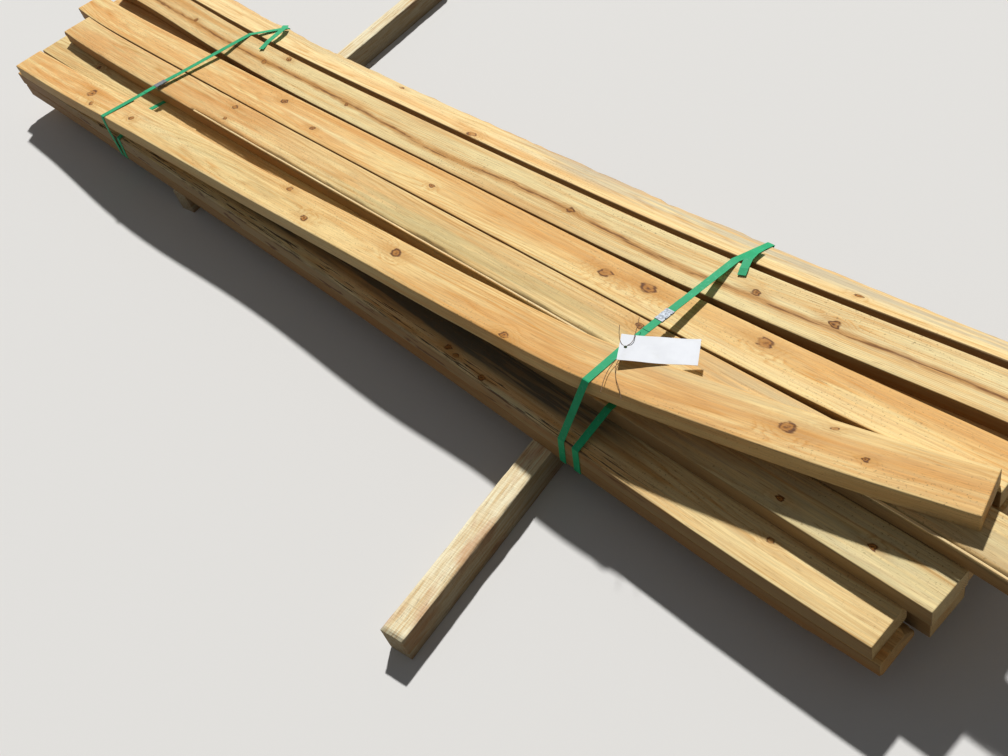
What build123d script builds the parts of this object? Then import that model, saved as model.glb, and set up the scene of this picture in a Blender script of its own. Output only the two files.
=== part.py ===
from build123d import *
from copy import copy
from math import atan2, cos, degrees, dist, radians, sin
import os

os.makedirs("parts", exist_ok=True)

# A strapped bundle of ten foot pine two-by-fours lying on two bearers.
# x runs along the bundle, y runs from the near side to the far side, z is up and the ground is z = 0.

# One stud
stud_length = 3048.0
stud_width = 88.9
stud_thickness = 38.1
stud_arris = 2.0

# The bearers on the ground
bearer_length = 1070.0
bearer_width = 50.0
bearer_height = 60.0
bearer_arris = 1.5

# How closely the pieces lie on each other
lay_gap = 0.15

# Straps, seals and tag
strap_width = 16.0
strap_thickness = 0.9
strap_clear = 0.3
strap_bridge = 0.08
strap_overlap = 95.0
seal_length = 32.0
seal_wall = 0.9
seal_play = 0.2
crimp_radius = 1.6
crimp_spacing = 14.0
tag_length = 135.0
tag_width = 57.0
tag_thickness = 0.6
tag_hole = 6.0
tag_margin = 11.0

# Where the straps' planes cross the line y = 0, z = 0, where the seals lie across the bundle, and the tag's middle
strap_front_x = 835.6
strap_back_x = -963.4
strap_inner_front_x = 874.8
strap_inner_back_x = -939.4
seal_front_y = 276.0
seal_back_y = 256.0
tag_x = 952.0
tag_y = 202.0

# Heights of the rows, bottom faces
row_step = stud_thickness + lay_gap
row_0 = bearer_height + lay_gap
row_1 = row_0 + row_step
row_2 = row_1 + row_step
row_2_top = row_2 + stud_thickness
row_3 = row_2_top + strap_clear + strap_thickness + lay_gap
row_3_top = row_3 + stud_thickness
row_4 = row_3_top + lay_gap

# Rows 0 and 1: their near edge at mid length, how they turn, how far apart the studs lie and what the first one bows
row_near = 40.0
row_turn = -0.0262
row_pitch = stud_width + 1.6
row_count = 5
row_bow = 6.5

# Row 2 leaves room for the loose stud beside it and turns a little more
loose_space = 35.2
row_2_near = loose_space + stud_width
row_2_turn = -0.0305
row_2_pitch = stud_width + 1.0

pieces = {}


def keep(piece, label):
    """Label a finished piece and keep it for writing out as a node of its own."""
    piece.part.label = label
    pieces[label] = piece.part


def draw_stud_section():
    """A stud's section with its four arrises planed off, its near lower corner at the sketch's origin."""
    with Locations((stud_width / 2, stud_thickness / 2)):
        section_face = Rectangle(stud_width, stud_thickness)
    chamfer(section_face.vertices(), stud_arris)


def straight_stud(x_left, near, turn, bottom):
    """A straight stud, given its left end, its near edge at x = 0, its turn and its underside."""
    corner = (x_left, near + turn * x_left, bottom)
    with BuildPart() as stud:
        with BuildSketch(Plane(origin=corner, x_dir=(-turn, 1, 0), z_dir=(1, turn, 0))):
            draw_stud_section()
        extrude(amount=stud_length)
    return stud


def bent_stud(x_left, near, turn, stations):
    """A crooked, bowed or twisted stud that follows a straight line loosely.

    Each station is a share of the length, how far the near lower corner lies beyond the line, its height and its roll.
    """
    corners = []
    for share, beyond, height, roll in stations:
        x = x_left + share * stud_length
        corners.append((Vector(x, near + turn * x + beyond, height), radians(roll)))
    with BuildPart() as stud:
        for i, (corner, roll) in enumerate(corners):
            before, after = corners[max(i - 1, 0)][0], corners[min(i + 1, len(corners) - 1)][0]
            along = (after - before).normalized()
            level_across = Vector(0, 0, 1).cross(along).normalized()
            across = level_across * cos(roll) + along.cross(level_across) * sin(roll)
            with BuildSketch(Plane(origin=corner, x_dir=across, z_dir=along)):
                draw_stud_section()
        loft()
    return stud


def bearer(x_at_zero, lean, y_start):
    """A square bearer lying across, given x where it crosses y = 0, its lean and where it starts."""
    start = Plane(
        origin=(x_at_zero + lean * y_start, y_start, bearer_height / 2),
        x_dir=(-1, lean, 0),
        z_dir=(lean, 1, 0),
    )
    with BuildPart() as piece:
        with BuildSketch(start):
            RectangleRounded(bearer_width, bearer_height, bearer_arris)
        extrude(amount=bearer_length)
    return piece


# %% Bearers
keep(bearer(x_at_zero=793.6, lean=-0.155, y_start=-421.0), "bearer_near")
keep(bearer(x_at_zero=-600.0, lean=-0.12, y_start=60.0), "bearer_far")

# %% Rows 0 and 1, five studs each: the first one bows, and the rest lie straight behind it
row_0_left = (-1540.0, -1518.0, -1531.0, -1509.0, -1526.0)
row_1_left = (-1553.0, -1522.0, -1515.0, -1534.0, -1519.0)
for row, lefts, bottom in (("bottom", row_0_left, row_0), ("second", row_1_left, row_1)):
    bow = ((0, -0.3), (0.25, 0.6), (0.5, 0.9), (0.7, 0.25), (0.85, -0.7), (1, -0.15))
    stations = [(share, part_of_bow * row_bow, bottom, 0) for share, part_of_bow in bow]
    keep(bent_stud(lefts[0], row_near, row_turn, stations), f"stud_{row}_1")
    for i in range(1, row_count):
        near = row_near + row_bow + i * row_pitch
        keep(straight_stud(lefts[i], near, row_turn, bottom), f"stud_{row}_{i + 1}")

# %% Row 2, four studs under the top row
row_2_left = (-1505.0, -1524.0, -1517.0, -1524.0)
for i, x_left in enumerate(row_2_left):
    keep(straight_stud(x_left, row_2_near + i * row_2_pitch, row_2_turn, row_2), f"stud_third_{i + 1}")

# %% Row 3, the three studs seen from above. The third one is tipped up along its far edge
stud_b = bent_stud(
    -1439.0,
    row_2_near,
    row_2_turn,
    (
        (0, 72.0, row_3, 0),
        (0.105, 63.8, row_3, 0),
        (0.254, 65.6, row_3, 0),
        (0.432, 70.1, row_3, 0),
        (0.624, 77.1, row_3, 0),
        (0.741, 80.9, row_3, 0),
        (0.866, 85.5, row_3, 0),
        (1, 82.9, row_3, 0),
    ),
)
stud_c = bent_stud(
    -1524.0,
    row_2_near + stud_width,
    row_2_turn,
    (
        (0, 79.5, row_3, 0),
        (0.133, 66.9, row_3, 0),
        (0.282, 68.2, row_3, 0),
        (0.460, 72.2, row_3, 0),
        (0.652, 79.2, row_3, 0),
        (0.769, 83.0, row_3, 0),
        (0.894, 94.6, row_3, 0),
        (1, 111.5, row_3, 0),
    ),
)
stud_f = bent_stud(
    -1500.0,
    row_2_near + 2 * stud_width,
    row_2_turn,
    (
        (0, 121.3, row_3 + lay_gap, 9),
        (0.125, 111.0, row_3 + lay_gap, 10),
        (0.274, 86.8, row_3 + lay_gap, 10),
        (0.452, 82.3, row_3 + lay_gap, 10),
        (0.644, 88.3, row_3 + lay_gap, 10),
        (0.761, 97.1, row_3 + lay_gap, 9),
        (0.886, 120.7, row_3 + lay_gap, 7),
        (1, 145.2, row_3 + lay_gap, 5),
    ),
)
keep(stud_b, "stud_top_1")
keep(stud_c, "stud_top_2")
keep(stud_f, "stud_top_3")

# %% The outermost stud, which leans outwards over the far edge of row 2 and twists along its length
edge_bottom = row_2_top + 2.6
stud_g = bent_stud(
    -1520.0,
    row_2_near + 4 * stud_width,
    row_2_turn,
    (
        (0, 32.9, edge_bottom, -15),
        (0.151, 19.0, edge_bottom, -16),
        (0.309, 0.7, edge_bottom, -18),
        (0.456, -1.6, edge_bottom, -19),
        (0.620, 1.6, edge_bottom, -19),
        (0.765, 11.0, edge_bottom, -21),
        (0.875, 30.3, edge_bottom, -26),
        (1, 57.8, edge_bottom, -33),
    ),
)
keep(stud_g, "stud_edge")

# %% The loose crooked stud: it starts beside row 2 and climbs until it lies on the top row
stud_a = bent_stud(
    -1513.0,
    row_near,
    row_turn,
    (
        (0, -2.5, row_2, 0),
        (0.042, -2.2, row_2 + 4, 0),
        (0.102, -3.4, row_2 + 14, 0),
        (0.207, -3.1, row_3 + 0.5, 0),
        (0.332, 10.9, row_3 + 3, 0),
        (0.496, 29.0, row_3 + 8, 0),
        (0.660, 46.1, row_3 + 18, 0),
        (0.742, 53.6, row_3 + 30, 0),
        (0.808, 71.9, row_4 + 0.8, 0),
        (0.857, 100.8, row_4 + 0.7, 0),
        (0.906, 132.8, row_4 + 0.6, 0),
        (0.955, 167.7, row_4 + 0.7, 0),
        (1, 204.0, row_4 + 0.8, 0),
    ),
)
keep(stud_a, "stud_loose")

# %% Straps, drawn tight round the uneven stack
strap_side = Vector(1, row_turn, 0).normalized()


def strap_plane(x_at_zero, lean_y, lean_z):
    """The plane of a strap, whose x grows by lean_y per unit of y and by lean_z per unit of z."""
    normal = Vector(1, -lean_y, -lean_z).normalized()
    across = Vector(lean_y, 1, 0).normalized()
    return Plane(origin=(x_at_zero, 0, 0), x_dir=across, z_dir=normal)


def crossing(edge, cut):
    """The spot where a long edge goes through a plane, in the plane's own directions, or None."""
    low, high = 0.0, 1.0
    below = cut.to_local_coords(edge.position_at(low, PositionMode.PARAMETER)).Z < 0
    if below == (cut.to_local_coords(edge.position_at(high, PositionMode.PARAMETER)).Z < 0):
        return None
    for halving in range(30):
        middle = (low + high) / 2
        spot = cut.to_local_coords(edge.position_at(middle, PositionMode.PARAMETER))
        if (spot.Z < 0) == below:
            low = middle
        else:
            high = middle
    return spot.X, spot.Y


def stud_corners(stud, cut):
    """The four corners of a stud's section, as they would be with its arrises left on."""
    long_edges = [edge for edge in stud.edges() if edge.length > stud_length / 2]
    spots = [spot for spot in (crossing(edge, cut) for edge in long_edges) if spot]
    if not spots:
        return []
    middle_x = sum(x for x, y in spots) / len(spots)
    middle_y = sum(y for x, y in spots) / len(spots)
    spots.sort(key=lambda spot: atan2(spot[1] - middle_y, spot[0] - middle_x))
    corners = []
    for (x0, y0), (x1, y1) in zip(spots, spots[1:] + spots[:1]):
        if dist((x0, y0), (x1, y1)) < 2 * stud_arris:
            corners.append(((x0 + x1 + y1 - y0) / 2, (y0 + y1 + x0 - x1) / 2))
    return corners


def stands_out(a, b, c):
    """Whether b stands out to the right of the line from a to c by more than the strap can bridge."""
    area = (b[0] - a[0]) * (c[1] - a[1]) - (b[1] - a[1]) * (c[0] - a[0])
    return area > strap_bridge * dist(a, c)


def tight_outline(plane, held):
    """The convex outline, in the plane's own directions, around what a strap as wide as ours goes round."""
    points = []
    for shift in (-strap_width / 2, 0, strap_width / 2):
        cut = Plane(origin=plane.origin + strap_side * shift, x_dir=plane.x_dir, z_dir=plane.z_dir)
        for stud in held:
            points += stud_corners(stud, cut)
    points.sort()
    outline = []
    for ordered in (points, points[::-1]):
        start = len(outline)
        for spot in ordered:
            while len(outline) - start > 1 and not stands_out(outline[-2], outline[-1], spot):
                outline.pop()
            outline.append(spot)
        outline.pop()
    return [spot for last, spot in zip(outline[-1:] + outline, outline) if dist(last, spot) > strap_clear]


def on_top(outline, across):
    """A place on an outline's upper side, given how far across it is, and the directions along and out there."""
    for a, b in zip(outline, outline[1:] + outline[:1]):
        if b[0] < across <= a[0]:
            along = Vector(a[0] - b[0], a[1] - b[1])
            spot = Vector(across, b[1] + (across - b[0]) * along.Y / along.X)
            along = along.normalized()
            return spot, along, Vector(-along.Y, along.X)
    raise ValueError("no upper side there")


def strap(plane, outline, seal_across=None):
    """A closed flat strap, as wide along the studs as it lies flat on them. Its ends overlap where it has a seal."""
    with BuildPart() as band:
        for grow, mode in ((strap_clear + strap_thickness, Mode.ADD), (strap_clear, Mode.SUBTRACT)):
            with BuildSketch(plane):
                with BuildLine():
                    Polyline(*outline, close=True)
                make_face()
                offset(amount=grow, kind=Kind.ARC, mode=Mode.REPLACE)
            extrude(amount=strap_width / 2, dir=strap_side, both=True, mode=mode)
        if seal_across:
            spot, along, out = on_top(outline, seal_across)
            middle = spot + out * (strap_clear + 1.5 * strap_thickness)
            with BuildSketch(plane):
                with Locations(Location((middle.X, middle.Y, 0), (0, 0, degrees(atan2(along.Y, along.X))))):
                    Rectangle(strap_overlap, strap_thickness)
            extrude(amount=strap_width / 2, dir=strap_side, both=True)
    return band


def seal(plane, outline, across):
    """A flattened metal sleeve round a strap's overlapping ends, nipped in at its edges by the crimping tool."""
    spot, along, out = on_top(outline, across)
    middle = spot + out * (strap_clear + strap_thickness)
    lean = degrees(atan2(along.Y, along.X))
    inner_height = 2 * strap_thickness + 2 * seal_play
    inner_half = strap_width / 2 + seal_play
    outer_half = inner_half + seal_wall
    with BuildPart() as sleeve:
        for height, half, mode in (
            (inner_height + 2 * seal_wall, outer_half, Mode.ADD),
            (inner_height, inner_half, Mode.SUBTRACT),
        ):
            with BuildSketch(plane):
                with Locations(Location((middle.X, middle.Y, 0), (0, 0, lean))):
                    Rectangle(seal_length, height)
            extrude(amount=half, dir=strap_side, both=True, mode=mode)
        run = plane.x_dir * along.X + plane.y_dir * along.Y
        centre = plane.from_local_coords(middle)
        flat = Plane(origin=centre, x_dir=run, z_dir=run.cross(strap_side).normalized())
        with BuildSketch(flat):
            for side in (-outer_half, outer_half):
                edge_of_sleeve = flat.to_local_coords(centre + strap_side * side)
                with Locations((edge_of_sleeve.X, edge_of_sleeve.Y)):
                    with GridLocations(crimp_spacing, 1, 2, 1):
                        Circle(crimp_radius)
        extrude(amount=inner_height, both=True, mode=Mode.SUBTRACT)
    return sleeve


studs = {label: piece for label, piece in pieces.items() if label.startswith("stud")}
all_studs = list(studs.values())
lower_rows = [piece for label, piece in studs.items() if label.split("_")[1] in ("bottom", "second", "third")]
front_plane = strap_plane(strap_front_x, 0.058, 0.224)
back_plane = strap_plane(strap_back_x, 0.246, 0.364)
inner_front_plane = strap_plane(strap_inner_front_x, 0.058, 0.2)
inner_back_plane = strap_plane(strap_inner_back_x, 0.246, 0.364)
front_outline = tight_outline(front_plane, all_studs)
back_outline = tight_outline(back_plane, all_studs)
keep(strap(front_plane, front_outline, seal_front_y), "strap_front")
keep(strap(back_plane, back_outline, seal_back_y), "strap_back")
keep(strap(inner_front_plane, tight_outline(inner_front_plane, lower_rows)), "strap_inner_front")
keep(strap(inner_back_plane, tight_outline(inner_back_plane, lower_rows)), "strap_inner_back")

# %% Seals
keep(seal(front_plane, front_outline, seal_front_y), "seal_front")
keep(seal(back_plane, back_outline, seal_back_y), "seal_back")

# %% Tag, lying on the front strap where that bends over the loose stud
strap_top = max(front_plane.from_local_coords(spot).Z for spot in front_outline)
tag_z = strap_top + strap_clear + strap_thickness + lay_gap
with BuildPart() as tag:
    with BuildSketch(Plane(origin=(tag_x, tag_y, tag_z), x_dir=(0.91, 0.4147, 0), z_dir=(0, 0, 1))):
        RectangleRounded(tag_length, tag_width, 1.0)
        with Locations((tag_margin - tag_length / 2, 0)):
            Circle(tag_hole / 2, mode=Mode.SUBTRACT)
    extrude(amount=tag_thickness)
keep(tag, "tag")

# %% Write every piece, with the origin on the ground under the middle of the whole bundle
whole = Compound(children=[copy(piece) for piece in pieces.values()]).bounding_box()
to_middle = Location((-whole.center().X, -whole.center().Y, -whole.min.Z))
print("moved by", to_middle.position)
for label, piece in pieces.items():
    placed = piece.moved(to_middle)
    placed.label = label
    export_step(placed, f"parts/{label}.step")
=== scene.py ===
# %% [markdown]
# This script dresses a strapped bundle of pine two-by-fours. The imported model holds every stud, bearer and
# strap at its true size and place. Here each stud gets a finer mesh that follows it, with its own grain,
# knots and stains, and the straps, seals and card get their real finishes.

import math

import bmesh
import bpy
from mathutils import Matrix, Vector, noise


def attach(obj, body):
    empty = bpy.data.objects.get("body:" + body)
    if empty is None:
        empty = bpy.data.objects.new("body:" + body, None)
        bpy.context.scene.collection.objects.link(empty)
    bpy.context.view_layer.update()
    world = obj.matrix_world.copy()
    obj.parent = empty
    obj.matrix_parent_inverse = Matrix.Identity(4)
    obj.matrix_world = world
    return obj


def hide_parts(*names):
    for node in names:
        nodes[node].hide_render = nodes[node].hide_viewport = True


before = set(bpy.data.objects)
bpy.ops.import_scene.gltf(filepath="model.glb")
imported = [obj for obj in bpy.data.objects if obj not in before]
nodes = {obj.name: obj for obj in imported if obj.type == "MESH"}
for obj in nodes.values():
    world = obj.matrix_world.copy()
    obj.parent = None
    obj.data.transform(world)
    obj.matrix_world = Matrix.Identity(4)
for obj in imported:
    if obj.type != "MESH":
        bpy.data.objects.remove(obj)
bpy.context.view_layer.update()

# %% [markdown]
# The camera comes first. It stands at eye height to the near right of the bundle and looks down along it,
# a little tilted. Heading, dip and tilt are three plain angles, which is easier to read and to change than a
# matrix.

# %% Camera
scene = bpy.context.scene
camera_place = Vector((1.9145, -1.0051, 1.6432))
heading, dip, tilt = math.radians(60.65), math.radians(45.95), math.radians(-20.42)
camera_data = bpy.data.cameras.new("camera")
camera_data.lens = 40.05
camera_data.sensor_width = 36
camera_data.clip_start = 0.05
camera = bpy.data.objects.new("camera", camera_data)
scene.collection.objects.link(camera)
aim = Matrix.Rotation(heading, 4, "Z") @ Matrix.Rotation(math.pi / 2 - dip, 4, "X")
turn = aim @ Matrix.Rotation(tilt, 4, "Z")
camera.matrix_world = Matrix.Translation(camera_place) @ turn
scene.camera = camera
print("camera looks along", [round(v, 3) for v in (turn @ Vector((0, 0, -1)))])

# %% [markdown]
# A stud is a planed bar that then moved: it is crooked, bowed or twisted. Its course is read from its node,
# by cutting the node's mesh across at many places. In each cut the long sides give the roll, and the
# extremes along and across that roll give the middle. Reading the course keeps this file free of the bends
# themselves.

# %% Cut a stud across
def extent(values):
    """The lowest and the highest of some values."""
    values = list(values)
    return min(values), max(values)


def cut_across(node, x):
    """Cut a node's mesh by the plane at x, and give the middle and the roll of the cut."""
    mesh = bmesh.new()
    mesh.from_mesh(node.data)
    everything = mesh.verts[:] + mesh.edges[:] + mesh.faces[:]
    found = bmesh.ops.bisect_plane(mesh, geom=everything, plane_co=(x, 0, 0), plane_no=(1, 0, 0))
    edges = [part for part in found["geom_cut"] if isinstance(part, bmesh.types.BMEdge)]
    twice = Vector((0, 0))
    for edge in edges:
        run = edge.verts[1].co - edge.verts[0].co
        length = math.hypot(run.y, run.z)
        if length > 1e-7:
            twice += Vector((run.y**2 - run.z**2, 2 * run.y * run.z)) / length
    roll = math.atan2(twice.y, twice.x) / 2
    across = Vector((0, math.cos(roll), math.sin(roll)))
    up = Vector((0, -math.sin(roll), math.cos(roll)))
    spots = [vert.co.copy() for edge in edges for vert in edge.verts]
    mesh.free()
    wide = extent(spot.dot(across) for spot in spots)
    high = extent(spot.dot(up) for spot in spots)
    middle = across * (sum(wide) / 2) + up * (sum(high) / 2)
    return Vector((x, middle.y, middle.z)), roll


print("a cut's middle and roll:", cut_across(nodes["stud_loose"], 0.0))

# %% [markdown]
# An end of a stud stands square to the stud and not to the long axis of the bundle. So the cuts stop a
# little short of each end, and from there the course is carried on straight as far as the stud reaches.
# Three stations close together at each end keep the end face flat.

# %% Read every stud's course
station_count = 120
end_reach = 0.03
end_steps = (0.0, 0.002, 0.01)


def read_course(node):
    """The middle and the roll of a stud at even steps of x, and at both its ends."""
    spots = [vert.co for vert in node.data.vertices]
    left, right = extent(spot.x for spot in spots)
    first_x, last_x = left + end_reach, right - end_reach
    cuts = [first_x + (last_x - first_x) * i / (station_count - 1) for i in range(station_count)]
    course = [cut_across(node, x) for x in cuts]
    ends = []
    for here, before in ((course[0], course[1]), (course[-1], course[-2])):
        outward = (here[0] - before[0]).normalized()
        reach = max((spot - here[0]).dot(outward) for spot in spots)
        ends.append([(here[0] + outward * (reach - short), here[1]) for short in end_steps])
    return ends[0] + course + ends[1][::-1]


stud_names = sorted(name for name in nodes if name.startswith("stud"))
courses = {name: read_course(nodes[name]) for name in stud_names}
print("studs:", len(courses), "first course starts at", [round(v, 3) for v in courses[stud_names[0]][0][0]])

# %% [markdown]
# The finer mesh is a section swept along that course. The planer leaves the arrises slightly rounded, so the
# section has a small arc at each corner. A bevel modifier could round them too, but then the points would
# not lie in even rings, and the wane below needs rings that it can follow.

# %% The section of a stud
stud_width = 0.0889
stud_thickness = 0.0381
stud_arris = 0.0028
stud_steps = (14, 6)


def spoke(angle):
    """One unit from the middle of a section, at an angle."""
    return Vector((math.cos(angle), math.sin(angle)))


def section_points(width, thickness, arris, across_steps, up_steps):
    """Points round a section with rounded arrises, from its middle."""
    corners = ((1, 1), (-1, 1), (-1, -1), (1, -1))
    centres = [Vector((w * (width / 2 - arris), t * (thickness / 2 - arris))) for w, t in corners]
    points = []
    for number, centre in enumerate(centres):
        start = number * math.pi / 2
        arc = [centre + arris * spoke(start + k * math.pi / 6) for k in range(4)]
        flat = centres[(number + 1) % 4] + arris * spoke(start + math.pi / 2)
        steps = across_steps if number % 2 == 0 else up_steps
        points += arc + [arc[-1].lerp(flat, k / steps) for k in range(1, steps)]
    return points


print("points round a stud:", len(section_points(stud_width, stud_thickness, stud_arris, *stud_steps)))

# %% [markdown]
# A corner that lay at the outside of the log has lost wood: that is wane. It is shape, so it is cut from the
# section and not left to the shading. A line at 45 degrees moves in over the corner, by a depth that wavers
# along the stud, and every point beyond the line is pushed back onto it.

# %% Wane
wane_fade = 0.06
wavers, jags = 7, 45


def wear(point, run, seed, corner_reach, wanes):
    """Where a point of the section lies after wane, and how much wood is gone there.

    A wane is a corner (side across, side up), a stretch (start, stop), a depth, and raggedness from 0 to 1.
    """
    wide, high, bite = point.x, point.y, 0.0
    for side_w, side_t, start, stop, depth, ragged in wanes:
        share = max(0.0, min(1.0, (run - start) / wane_fade, (stop - run) / wane_fade))
        slow = noise.noise(Vector((run * wavers + seed, side_w, side_t)))
        jag = slow + 0.5 * noise.noise(Vector((run * jags, seed, 0)))
        limit = depth * share * (1 - 0.25 * ragged + ragged * jag)
        cut = wide * side_w + high * side_t - corner_reach + limit
        if cut > 0:
            bite = max(bite, cut)
            wide -= side_w * cut / 2
            high -= side_t * cut / 2
    return wide, high, bite


print("a wane fades in over", wane_fade, "m, with", jags, "jags per metre")

# %% [markdown]
# The sweep turns the section with the course and joins the rings into faces. Every point also remembers
# where it lies in its own piece, along, across and up, so that the grain bends with the stud, and how much
# wood was torn away there. The two end faces get the second material, because end grain looks different.

# %% Sweep a section along a course
fur_along, fur_across = 40, 90
full_fur, full_tear = 0.004, 0.003


def into_scene(mesh, name):
    """Turn a finished edit mesh into a piece of the scene."""
    bmesh.ops.recalc_face_normals(mesh, faces=mesh.faces[:])
    data = bpy.data.meshes.new(name)
    mesh.to_mesh(data)
    mesh.free()
    piece = bpy.data.objects.new(name, data)
    scene.collection.objects.link(piece)
    return piece


def sweep(
    name, course, width, thickness, seed,
    arris=stud_arris, steps=stud_steps, rough=0.0002, wanes=(), shift=(0, 0),
):
    """Sweep a section along a course. Rough is the height of its fur, and shift moves it off the course."""
    ring = section_points(width, thickness, arris, *steps)
    mesh = bmesh.new()
    place = mesh.verts.layers.float_vector.new("place")
    torn = mesh.verts.layers.float.new("torn")
    rows = []
    run = 0.0
    for i, (middle, roll) in enumerate(course):
        along = (course[min(i + 1, len(course) - 1)][0] - course[max(i - 1, 0)][0]).normalized()
        flat = Vector((0, 0, 1)).cross(along).normalized()
        upright = along.cross(flat)
        across = flat * math.cos(roll) + upright * math.sin(roll)
        up = along.cross(across)
        if i:
            run += (middle - course[i - 1][0]).length
        row = []
        for point in ring:
            wide, high, bite = wear(point, run, seed, (width + thickness) / 2, wanes)
            fur = noise.noise(Vector((run * fur_along + seed, wide * fur_across, high * fur_across)))
            bump = rough * (1 + 6 * min(1, bite / full_fur)) * fur
            outward = Vector((wide / width, high / thickness)).normalized() * bump
            spot = middle + across * (wide + outward.x + shift[0]) + up * (high + outward.y + shift[1])
            vert = mesh.verts.new(spot)
            beside = (wide + shift[0] + stud_width / 2, high + shift[1] + stud_thickness / 2)
            vert[place] = Vector((run, *beside))
            vert[torn] = min(1.0, bite / full_tear)
            row.append(vert)
        rows.append(row)
    for row, following in zip(rows, rows[1:]):
        for k in range(len(ring)):
            j = (k + 1) % len(ring)
            mesh.faces.new((row[k], row[j], following[j], following[k])).smooth = True
    for row in (rows[0][::-1], rows[-1]):
        mesh.faces.new(row).material_index = 1
    return into_scene(mesh, name)


print("fur per metre, along and across:", fur_along, fur_across)

# %% [markdown]
# Materials start with a few small helpers. One turns the hex value of a colour, as a colour picker shows it,
# into the linear values that the renderer mixes. One adds a node, sets it and links its inputs in one line.
# Three make patterns that wood needs again and again: noise that is stretched along the grain, a mask with
# soft edges, and a patchy stain.

# %% Material helpers
smoothly = {"interpolation_type": "SMOOTHSTEP"}
in_colour = {"data_type": "RGBA"}


def colour(hex_value):
    """An sRGB hex colour as linear red, green, blue and alpha."""
    parts = [int(hex_value[i : i + 2], 16) / 255 for i in (1, 3, 5)]
    return [part / 12.92 if part <= 0.04045 else ((part + 0.055) / 1.055) ** 2.4 for part in parts] + [1.0]


def add(tree, kind, inputs=(), **settings):
    """Add a node. Inputs, by position or name, are numbers, hex colours, or nodes and sockets to link."""
    node = tree.nodes.new("ShaderNode" + kind)
    for key, value in settings.items():
        setattr(node, key, value)
    for key, value in inputs.items() if isinstance(inputs, dict) else enumerate(inputs):
        if isinstance(value, bpy.types.Node):
            value = next(out for out in value.outputs if out.enabled)
        if isinstance(value, bpy.types.NodeSocket):
            tree.links.new(value, node.inputs[key])
        else:
            node.inputs[key].default_value = colour(value) if isinstance(value, str) else value
    return node


def stretched_noise(tree, place, per_metre, start=(0, 0, 0), detail=3.0, roughness=0.55):
    """Noise with its own number of spots per metre along, across and up. A link takes its grey value."""
    mapped = add(tree, "Mapping", [place, start, (0, 0, 0), per_metre])
    return add(tree, "TexNoise", {"Vector": mapped, "Scale": 1.0, "Detail": detail, "Roughness": roughness})


def between(tree, value, low, full, waning, high):
    """A mask that rises smoothly from low to full and falls again from waning to high."""
    rise = add(tree, "MapRange", [value, low, full], **smoothly)
    fall = add(tree, "MapRange", [value, waning, high, 1.0, 0.0], **smoothly)
    return add(tree, "Math", [rise, fall], operation="MULTIPLY")


def stain(tree, tone, mask, cloud, limits, tint):
    """Lay a tint over a tone inside a mask, as patchily as a noise that is mapped to limits."""
    patchy = add(tree, "MapRange", [cloud, *limits], **smoothly)
    mask = add(tree, "Math", [mask, patchy], operation="MULTIPLY")
    return add(tree, "Mix", {0: mask, 6: tone, 7: tint}, **in_colour)


def new_material(name):
    """An empty node material, its tree and its output."""
    material = bpy.data.materials.new(name)
    material.use_nodes = True
    tree = material.node_tree
    tree.nodes.clear()
    return material, tree, add(tree, "OutputMaterial")


print("half grey in linear values:", round(colour("#808080")[0], 3))

# %% [markdown]
# Pine is drawn the way it grew. Each stud has a pith line beside it or under it, and the rings are bands of
# distance from that line: pale early wood and a narrow amber line of late wood. On a wide face that gives
# long streaks, with arches where the pith line wanders, and on an end it gives arcs. The rings of these
# studs are about three millimetres apart. Knots push the rings aside, so each knot adds to the distance
# around it.

# %% Rings, and how knots bend them
ring_gap = 0.0031
out_of_reach = 9.0


def ring_distance(tree, place, seed, pith):
    """The distance from the pith line. The line wanders slowly, and every ring a little."""
    wander = stretched_noise(tree, place, (0.8, 1.5, 1.5), (seed, seed * 0.37, 0.0), detail=1.0)
    wander = add(tree, "VectorMath", [wander.outputs["Color"], (0.5, 0.5, 0.5)], operation="SUBTRACT")
    wander = add(tree, "VectorMath", [wander, (0.0, 0.09, 0.06)], operation="MULTIPLY")
    from_pith = add(tree, "VectorMath", [place, (0.0, pith[0], pith[1])], operation="SUBTRACT")
    from_pith = add(tree, "VectorMath", [from_pith, wander], operation="ADD")
    from_pith = add(tree, "VectorMath", [from_pith, (0, 1, 1)], operation="MULTIPLY")
    radius = add(tree, "VectorMath", [from_pith], operation="LENGTH").outputs["Value"]
    ripple = stretched_noise(tree, place, (6.0, 75.0, 75.0), (0.0, seed, 0.0), detail=2.0)
    return add(tree, "Math", [ripple, 0.004, radius], operation="MULTIPLY_ADD")


def bend_round_knots(tree, shaken, radius, knots):
    """The distance bent round the knots, and how many radii away the nearest knot and halo are."""
    nearest, halo = out_of_reach, out_of_reach
    for along, over, size in knots:
        off = add(tree, "VectorMath", [shaken, (along, over, 0)], operation="SUBTRACT")
        off = add(tree, "VectorMath", [off, (0.7 / size, 1 / size, 0)], operation="MULTIPLY")
        drawn = add(tree, "VectorMath", [off, (0.4, 1.0, 0.0)], operation="MULTIPLY")
        drawn = add(tree, "VectorMath", [drawn], operation="LENGTH").outputs["Value"]
        halo = add(tree, "Math", [halo, drawn], operation="MINIMUM")
        off = add(tree, "VectorMath", [off], operation="LENGTH").outputs["Value"]
        push = add(tree, "MapRange", [off, 0.0, 4.5, size * 1.3, 0.0], **smoothly)
        radius = add(tree, "Math", [push, radius], operation="ADD")
        nearest = add(tree, "Math", [nearest, off], operation="MINIMUM")
    return radius, nearest, halo


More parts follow.
